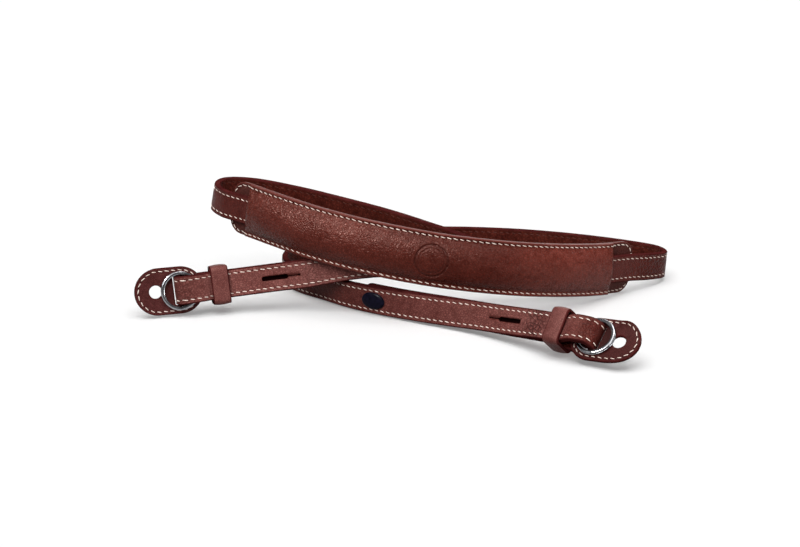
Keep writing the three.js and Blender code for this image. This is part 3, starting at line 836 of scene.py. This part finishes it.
def stadium_tool(name, band, at, length, width):
    """A prism with rounded ends, for cutting a slot into the front of a band."""
    half = max(0, (length - width) / 2)
    round_end = width / 2 * circle(np.linspace(-pi / 2, pi / 2, 9))
    x, y = np.vstack([[half, 0] + round_end, [-half, 0] - round_end]).T
    levels = (SLOT_FLOOR - HALF_STRAP, HALF_STRAP + 1.0)
    grid = np.stack([band.place(at + x, y, level) for level in levels])
    # The slot's walls and floor are near black: painted shadow inside the slot.
    wall = STRAP_LOOKS.index(SLOT_SHADOW)
    return make_object(name, swept(grid, np.full(len(x), wall)), STRAP_LOOKS)


def cut_slot(piece, band, slot_at):
    """The slot in the strap's front, a slit from its inner end, and a hole at the slit's end."""
    slit_at = slot_at - (SLOT_LENGTH + SLIT_LENGTH) / 2 + SLIT_OVERLAP / 2
    hole_at = slit_at - SLIT_LENGTH / 2 - SLIT_OVERLAP / 2
    tools = [
        stadium_tool("slot_tool", band, slot_at, SLOT_LENGTH, SLOT_WIDTH),
        stadium_tool("slit_tool", band, slit_at, SLIT_LENGTH + SLIT_OVERLAP, SLIT_WIDTH),
        stadium_tool("slit_end_tool", band, hole_at, SLIT_HOLE, SLIT_HOLE),
    ]
    for tool in tools:
        modifier = piece.modifiers.new("cut", "BOOLEAN")
        modifier.object = tool
        modifier.solver = "EXACT"
        bpy.context.view_layer.objects.active = piece
        with bpy.context.temp_override(object=piece, active_object=piece):
            bpy.ops.object.modifier_apply(modifier=modifier.name)
        bpy.data.objects.remove(tool, do_unlink=True)


# ---- The pad

COVER_START = PAD_START + COVER_INSET_LEFT
COVER_END = PAD_END - COVER_INSET_RIGHT
ROUNDEL_CENTRE = PAD_START + ROUNDEL_AT


def roundel(length, across):
    """The distance from the roundel's centre, and how much it is in the two lines."""
    distance = np.hypot(length - ROUNDEL_CENTRE, across)
    line = bell(distance - ROUNDEL_RADIUS, ROUNDEL_LINE)
    inner = bell(distance - ROUNDEL_RADIUS + ROUNDEL_INNER, 0.7 * ROUNDEL_LINE)
    return distance, line, inner


def cover_height(length, across):
    """The cover's face over the middle plane of the strap."""
    half = PAD_WIDTH / 2
    side = np.abs(across)
    share = np.clip(side / (half - RIM_WIDTH), 0, 1)
    from_end = np.minimum(length - COVER_START, COVER_END - length)
    height = END_CROWN + (CROWN - END_CROWN) * smooth(from_end, 0, 25)
    face = COVER_RIM + height * (1 - share**2) ** 0.75
    # The seam pulls the rim down, the edges are rounded off, and the filling is uneven.
    stitch = half - PAD_SEAM
    pull = 0.65 + 0.35 * np.cos(2 * pi * (length - PAD_START) / PAD_PITCH)
    face = face - 0.4 * pull * bell(side - stitch + 0.15, 0.55)
    face = face - 0.5 * smooth(side, half - 0.5, half) ** 2
    face = face - 0.45 * (1 - smooth(from_end, 0, 0.9)) * smooth(-share, -1, -0.9)
    soft = 0.13 * np.sin(length / 11 + across / 6) * np.sin(length / 17 - across / 4)
    soft = soft + 0.07 * np.sin(length / 3.9 + across / 2.7 + 2)
    face = face + soft * (1 - share**4)
    distance, line, inner = roundel(length, across)
    dish = 1 - smooth(distance, ROUNDEL_RADIUS - 0.6, ROUNDEL_RADIUS)
    return face - ROUNDEL_DEPTH * (line + 0.45 * inner + 0.3 * dish)


def pad_cover():
    half = PAD_WIDTH / 2
    # Points lie closer together at the roundel, the ends and the seams.
    fine = np.arange(ROUNDEL_CENTRE - 9, ROUNDEL_CENTRE + 9, 0.22)
    coarse = np.arange(COVER_START, COVER_END, 0.55)
    coarse = coarse[np.abs(coarse - ROUNDEL_CENTRE) > 9.2]
    near_ends = [COVER_START + 0.25, COVER_END - 0.25, COVER_END]
    lengths = np.sort(np.concatenate([fine, coarse, near_ends]))
    middle = np.arange(-9.3, 9.31, 0.31)
    outer = np.array([9.7, 10.05, 10.35, 10.65, 10.95, 11.25, 11.55, 11.8, half])
    face = np.concatenate([-outer[::-1], middle, outer])
    tunnel, roof = STRAP_WIDTH / 2 + 2 * GAP, HALF_STRAP + GAP
    under = [(half, COVER_BOTTOM), (tunnel, COVER_BOTTOM), (tunnel, roof), (tunnel / 2, roof)]
    under += [(-v, h) for v, h in under[::-1]]
    across = np.concatenate([face, [v for v, _ in under]])
    long, wide = np.meshgrid(lengths, across, indexing="ij")
    high = cover_height(long, wide)
    high[:, len(face):] = [h for _, h in under]
    raised = np.clip((high - COVER_BOTTOM) / (COVER_RIM + END_CROWN - COVER_BOTTOM), 0, 1)
    at_start = 1 - smooth(long, COVER_START, COVER_START + 12)
    set_back = at_start - smooth(long, COVER_END - 12, COVER_END)
    grid = on_route(long + END_HOLLOW * raised * set_back, wide, high)
    rim = (np.abs(across) > half - 0.6) | (np.arange(len(across)) >= len(face))
    shape = swept(grid, (rim & np.roll(rim, -1)).astype(int))
    shape[2][-2:] = [1, 1]  # both ends
    uv = pairs(long, wide).reshape(-1, 2)
    materials = [PAD_LEATHER, PAD_EDGE]
    piece = make_object("pad_cover_leather", shape, materials, uv, 50)
    _, line, inner = roundel(long, wide)
    set_attribute(piece, "pressed_and_fold_shade", 0.5 * line + 0.25 * inner)
    # Painted light, brightest towards the right end and a little brighter towards the left one.
    from_middle = long - PAD_START - LEAST_PAINTED_LIGHT_AT
    painted_light = smooth(from_middle, 5, 50) + 0.35 * smooth(-from_middle, 15, 60)
    set_attribute(piece, "painted_light", painted_light)
    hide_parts("pad_cover")


def rounded_rectangle(low, high, half, radius, step):
    """Counter-clockwise outline from low to high along and half to each side."""
    quarter = np.linspace(0, pi / 2, CORNER_POINTS + 1)[:-1]
    straight = np.arange(low + radius, high - radius, step)
    upright = np.arange(radius - half, half - radius, step)
    back = straight[::-1] + (high - radius - straight[-1])
    down = upright[::-1] - (upright[0] + upright[-1])
    sides = [pairs(straight, -half), pairs(high, upright), pairs(back, half), pairs(low, down)]
    centres = [
        (high - radius, radius - half), (high - radius, half - radius),
        (low + radius, half - radius), (low + radius, radius - half),
    ]
    rows = []
    for turns, (line, centre) in enumerate(zip(sides, centres), -1):
        rows += [line, centre + radius * circle(quarter + turns * pi / 2)]
    return np.vstack(rows)


def pad_backing():
    half = PAD_WIDTH / 2
    outline = rounded_rectangle(PAD_START, PAD_END, half, CORNER_RADIUS, 1.6)
    middle = BACKING_FRONT - BACKING / 2
    inset = PAD_SEAM

    def dent(points):
        return 0.12 * bell(half - np.abs(points[:, 1]) - inset, 0.5)

    near_seam = (inset - 0.5, inset, inset + 0.5)
    rows = [pairs(outline[:, 0], outline[:, 1] * (1 - d / half)) for d in near_seam]
    shape, uv = plate(
        lambda u, v, h: on_route(u, v, middle + h), [outline], BACKING, 0.4, 1.6, dent, rows
    )
    materials = [LINING, LINING, PAD_EDGE]
    piece = make_object("pad_backing_leather", shape, materials, uv, 50)
    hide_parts("pad_backing")

    def front(length, across, above):
        """The seam climbs from the backing's tongues onto the cover's rim."""
        on_cover = smooth(length, COVER_START - 0.2, COVER_START + 0.4)
        on_cover = on_cover * (1 - smooth(length, COVER_END - 0.4, COVER_END + 0.2))
        base = BACKING_FRONT + on_cover * (COVER_RIM - 0.22 - BACKING_FRONT)
        return on_route(length, across, base + above)

    def back(length, across, above):
        return on_route(length, across, BACKING_FRONT - BACKING + above)

    seam = rounded_rectangle(
        PAD_START + inset, PAD_END - inset, half - inset, CORNER_RADIUS - inset, 1.0
    )
    thread_piece("stitches_pad", sewn((front, back), seam, PAD_PITCH, closed=True))


# ---- The fittings


def turned(points, degrees):
    """Flat points turned about the origin."""
    c, s = cos(radians(degrees)), sin(radians(degrees))
    return points @ np.array([[c, s], [-s, c]])


def flap_outline(inward, turn_by):
    """The flap's outline, that far inside its rim and turned about the ring's middle."""
    half = FLAP_WIDTH / 2 - inward
    round_end = half * circle(np.linspace(-pi / 2, pi / 2, 40))
    outer = [FLAP_OUTWARD - FLAP_WIDTH / 2, 0] + round_end
    inner = [FLAP_WIDTH / 2 - FLAP_INWARD, 0] - round_end
    steps = np.linspace(0, 1, 10)[1:-1, None]
    top = outer[-1] + (inner[0] - outer[-1]) * steps
    low = inner[-1] + (outer[0] - inner[-1]) * steps
    return turned(np.vstack([outer, top, inner, low]), turn_by)


def flap_piece(side, end):
    """A flap, a little cupped, with a slot for the strap's fold and a round hole."""
    turn_by = end.flap_turn
    local = local_place(end, 0, FLAP_TOP - FLAP_THICKNESS / 2)
    hole = FLAP_HOLE_RADIUS * circle(np.linspace(0, -2 * pi, 33)[:-1]) + [FLAP_HOLE_AT, 0]
    reach = STRAP_WIDTH / 2 + FLAP_ROOM
    slot_low = FLAP_SLOT_AT - FLAP_SLOT_WIDTH / 2
    slot_high = end.fold_at + end.reach + HALF_STRAP + end.fold_gap
    slot = rounded_rectangle(slot_low, slot_high, reach, 1.0, 0.8)[::-1]
    loops = [flap_outline(0.0, turn_by), turned(hole, turn_by), slot]
    seam = flap_outline(FLAP_SEAM, turn_by)

    def place(x, y, h):
        cup = FLAP_CUP * np.asarray(y) ** 2 - FLAP_CUP_DEPTH
        return local(x, y, h + cup * smooth(np.abs(x), 6, 14))

    def dent(points):
        gap = np.sqrt(np.min(np.sum((points[:, None] - seam[None]) ** 2, axis=-1), axis=1))
        return 0.16 * bell(gap, 0.5)

    rows = [flap_outline(FLAP_SEAM + d, turn_by) for d in (-0.5, 0.0, 0.5)]
    shape, uv = plate(place, loops, FLAP_THICKNESS, 0.5, 0.9, dent, rows)
    materials = [FLAP_LEATHER, LINING, EDGE]
    piece = make_object(f"flap_{side}_leather", shape, materials, uv, 50)
    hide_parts(f"flap_{side}")
    # Painted light on the left flap, none on the right one.
    set_attribute(piece, "painted_light", np.full(len(piece.data.vertices), end.flap_pale))
    # Painted shade on the flap inside the ring, next to the strap's fold.
    from_ring = np.hypot(uv[:, 0], uv[:, 1])
    set_attribute(piece, "pressed_and_fold_shade", end.fold_dark * (1 - smooth(from_ring, 5.5, 9)))
    surfaces = both_faces(place, FLAP_THICKNESS / 2 - 0.13)
    thread_piece(f"stitches_flap_{side}", sewn(surfaces, seam, FLAP_PITCH, closed=True))


def ring_piece(side, end):
    """Two turns of flat wire, with a jog where one steps up to the other."""
    local = local_place(end, 0, RING_TOP - RING_THICKNESS)
    jog = radians(RING_JOG)
    sweep = np.linspace(0, 4 * pi - 1.15 * jog, 260)
    rise = (RING_WIRE + RING_SPLIT) * smooth(sweep, 2 * pi - jog, 2 * pi)
    turn = around(16)
    half = (RING_OUTER - RING_INNER) / 2
    beside, above = (np.sign(f(turn)) * np.abs(f(turn)) ** 0.6 for f in (np.cos, np.sin))
    radius = (RING_OUTER + RING_INNER) / 2 + half * beside
    high = rise[:, None] + RING_WIRE / 2 + RING_WIRE / 2 * above
    angle = radians(RING_JOG_AT) - sweep[:, None]
    shift_out, shift_up = end.ring_shift
    grid = local(radius * np.cos(angle) + shift_out, radius * np.sin(angle) + shift_up, high)
    shape = swept(grid[:, ::-1])
    piece = make_object(f"ring_{side}_wire", shape, [STEEL], flat=40)
    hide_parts(f"ring_{side}")


def keeper_profile():
    """A section through the keeper's wall, with softened edges: along and depth."""
    half = KEEPER_WIDTH / 2
    flat = np.linspace(-half + 0.9, half - 0.9, 9)
    rim = [(half, -0.42), (half - 0.08, -0.16), (half - 0.24, -0.04), (half - 0.5, -0.0)]
    low = [(v, -KEEPER_WALL - h) for v, h in rim]
    outer = [(v, 0.0) for v in flat[::-1]]
    inner = [(v, -KEEPER_WALL) for v in flat]
    far_side = [(-v, h) for v, h in rim[::-1]] + [(-v, h) for v, h in low]
    return np.array(low[::-1] + rim + outer + far_side + inner)


def keeper_piece(side, end):
    """A band round both layers of the strap, a little crowned across its width."""
    middle = -LAYER / 2
    local = local_place(end, end.keeper, middle, end.keeper_turn)
    front = end.keeper_front + KEEPER_WALL
    back = end.keeper_front - end.keeper_depth - KEEPER_WALL
    half = KEEPER_HEIGHT / 2 - end.keeper_low / 2
    loop = rounded_rectangle(back, front, half, KEEPER_CORNER, 0.6)
    loop[:, 1] += end.keeper_low / 2
    normal = loop_normals(loop)
    long, depth = keeper_profile().T
    crown = KEEPER_CROWN * (1 - (long / (KEEPER_WIDTH / 2)) ** 2) * (depth > -0.1)
    offset = depth + crown
    out, across = (loop[:, i, None] + normal[:, i, None] * offset for i in (0, 1))
    grid = local(np.broadcast_to(long, across.shape), across, out - middle)
    rows, columns = grid.shape[:2]
    faces = [[i % (rows * columns) for i in face] for face in grid_faces(rows + 1, columns)]
    at_edge = np.abs(long) > KEEPER_WIDTH / 2 - 0.6
    marks = np.tile((at_edge & np.roll(at_edge, -1)).astype(int), rows)
    shape = grid.reshape(-1, 3), faces, marks
    materials = [FITTING_LEATHER, EDGE]
    piece = make_object(f"keeper_{side}_leather", shape, materials, None, 50)
    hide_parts(f"keeper_{side}")


def stud_piece(side, end):
    """An oval dome with a rolled rim, on a post with a round foot behind the strap."""
    local = local_place(end, end.stud)
    face, foot = HALF_STRAP + 0.05, -LAYER - HALF_STRAP - 0.1
    rim = np.linspace(-pi / 2, pi / 6, 7)
    edge = pairs(0.93 + 0.07 * np.cos(rim), face + 0.45 + 0.42 * np.sin(rim))
    rise = np.linspace(0.12, 1, 14) * pi / 2
    dome = pairs(0.985 * np.cos(rise), face + 0.6 + (STUD_DOME - 0.6) * np.sin(rise))
    post = [
        (0.05, face), (STUD_SHANK, face), (STUD_SHANK, foot), (STUD_BASE - 0.2, foot),
        (STUD_BASE, foot - 0.2), (STUD_BASE, foot - 0.6), (STUD_BASE - 0.3, foot - 0.9),
        (2.6, foot - STUD_FOOT), (0.05, foot - STUD_FOOT - 0.15),
    ]
    turn = around(STUD_SIDES)

    def lathed(profile, long, wide):
        radius, level = (column[:, None] for column in profile.T)
        return swept(local(long * radius * np.cos(turn), wide * radius * np.sin(turn), level))

    top = np.vstack([[[0.02, face]], edge, dome])
    parts = [lathed(top, STUD_LENGTH / 2, STUD_WIDTH / 2), lathed(np.array(post[::-1]), 1, 1)]
    piece = make_object(f"stud_{side}_dome", gather(parts), [ENAMEL], flat=45)
    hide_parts(f"stud_{side}")


# ---- The studio

FOCAL_LENGTH, SENSOR = 97.83, 36
CAMERA_ELEVATION, CAMERA_DISTANCE = 17, 1.0  # degrees, metres
TARGET_HEIGHT = 10  # over the route's origin
PAPER, PAPER_GLOW = 0.8, 0.2
WORLD_LIGHT = 0.22


def camera():
    data = bpy.data.cameras.new("camera")
    data.sensor_width = SENSOR
    data.lens = FOCAL_LENGTH
    data.clip_start, data.clip_end = 0.05, 20
    eye = add_object("camera", data)
    target = Vector((ORIGIN + [0, 0, TARGET_HEIGHT]) * MM)
    elevation = radians(CAMERA_ELEVATION)
    back = Vector((0, -cos(elevation), sin(elevation)))
    eye.location = target + back * CAMERA_DISTANCE
    eye.rotation_euler = (-back).to_track_quat("-Z", "Y").to_euler()
    bpy.context.scene.camera = eye


def lamp(name, kind, place, aim=(0, 0, 0), glints_only=False, **settings):
    """A light turned from its place to its aim, seen only in reflections or not."""
    data = bpy.data.lights.new(name, kind)
    for key, value in settings.items():
        setattr(data, key, value)
    made = add_object(name, data)
    made.location = place
    made.rotation_euler = (Vector(place) - Vector(aim)).to_track_quat("Z", "Y").to_euler()
    made.visible_diffuse = not glints_only
    return made


def panel(name, place, size, power, glints_only=False):
    size = dict(shape="RECTANGLE", size=size[0], size_y=size[1])
    return lamp(name, "AREA", place, (0, 0, 0.02), glints_only, energy=power, **size)


def softbox(name, direction, angle, strength):
    """A round soft light, far enough to light the whole floor. The angle is in degrees."""
    return lamp(name, "SUN", direction, angle=radians(angle), energy=strength)


def paper_floor():
    bpy.ops.mesh.primitive_plane_add(size=8, location=(0, 0, 0))
    floor = bpy.context.active_object
    floor.name = "floor"
    material, _ = new_material(
        "paper", 0.9, Base_Color=rgb(PAPER, PAPER, PAPER), Specular_IOR_Level=0.1,
        Emission_Color=rgb(1, 1, 1), Emission_Strength=PAPER_GLOW,
    )
    floor.data.materials.append(material)
    floor.visible_diffuse = False
    return floor


def limit_to(lamps, name, floor, state):
    """Lets the lamps light only the floor, or with EXCLUDE all but the floor."""
    receivers = bpy.data.collections.new(name)
    receivers.objects.link(floor)
    receivers.collection_objects[0].light_linking.link_state = state
    for light in lamps:
        light.light_linking.receiver_collection = receivers


def studio():
    """Lights that shape the leather and spare the floor, whose own light has soft shadows."""
    scene = bpy.context.scene
    scene.view_settings.view_transform = "Standard"
    world = bpy.data.worlds.new("studio")
    scene.world = world
    world.use_nodes = True
    background = world.node_tree.nodes["Background"]
    background.inputs["Color"].default_value = rgb(1, 1, 1)
    background.inputs["Strength"].default_value = WORLD_LIGHT
    off_floor = [
        softbox("front", (-0.37, -0.84, 0.7), angle=30, strength=2.6),
        panel("left_strip", (-0.75, -0.70, 1.15), (0.25, 0.45), 52, glints_only=True),
        panel("right_low", (1.05, -0.75, 0.12), (0.4, 0.2), 5),
        panel("top_glint", (0.15, 0.05, 1.3), (0.5, 0.4), 8, glints_only=True),
        softbox("back", (0.3, 0.9, 0.6), angle=40, strength=2.1),
    ]
    softbox("overhead", (0.0, -0.3, 1.0), angle=62, strength=2.3)
    on_floor = softbox("floor_light", (0.0, -0.3, 1.0), angle=120, strength=0.44)
    floor = paper_floor()
    limit_to(off_floor, "spared_floor", floor, "EXCLUDE")
    limit_to([on_floor], "only_floor", floor, "INCLUDE")


# ---- Everything, in the order of the random draws

camera()
for side, end in ENDS.items():
    for make in (strap_piece, flap_piece, ring_piece, keeper_piece, stud_piece):
        make(side, end)
pad_cover()
pad_backing()
studio()
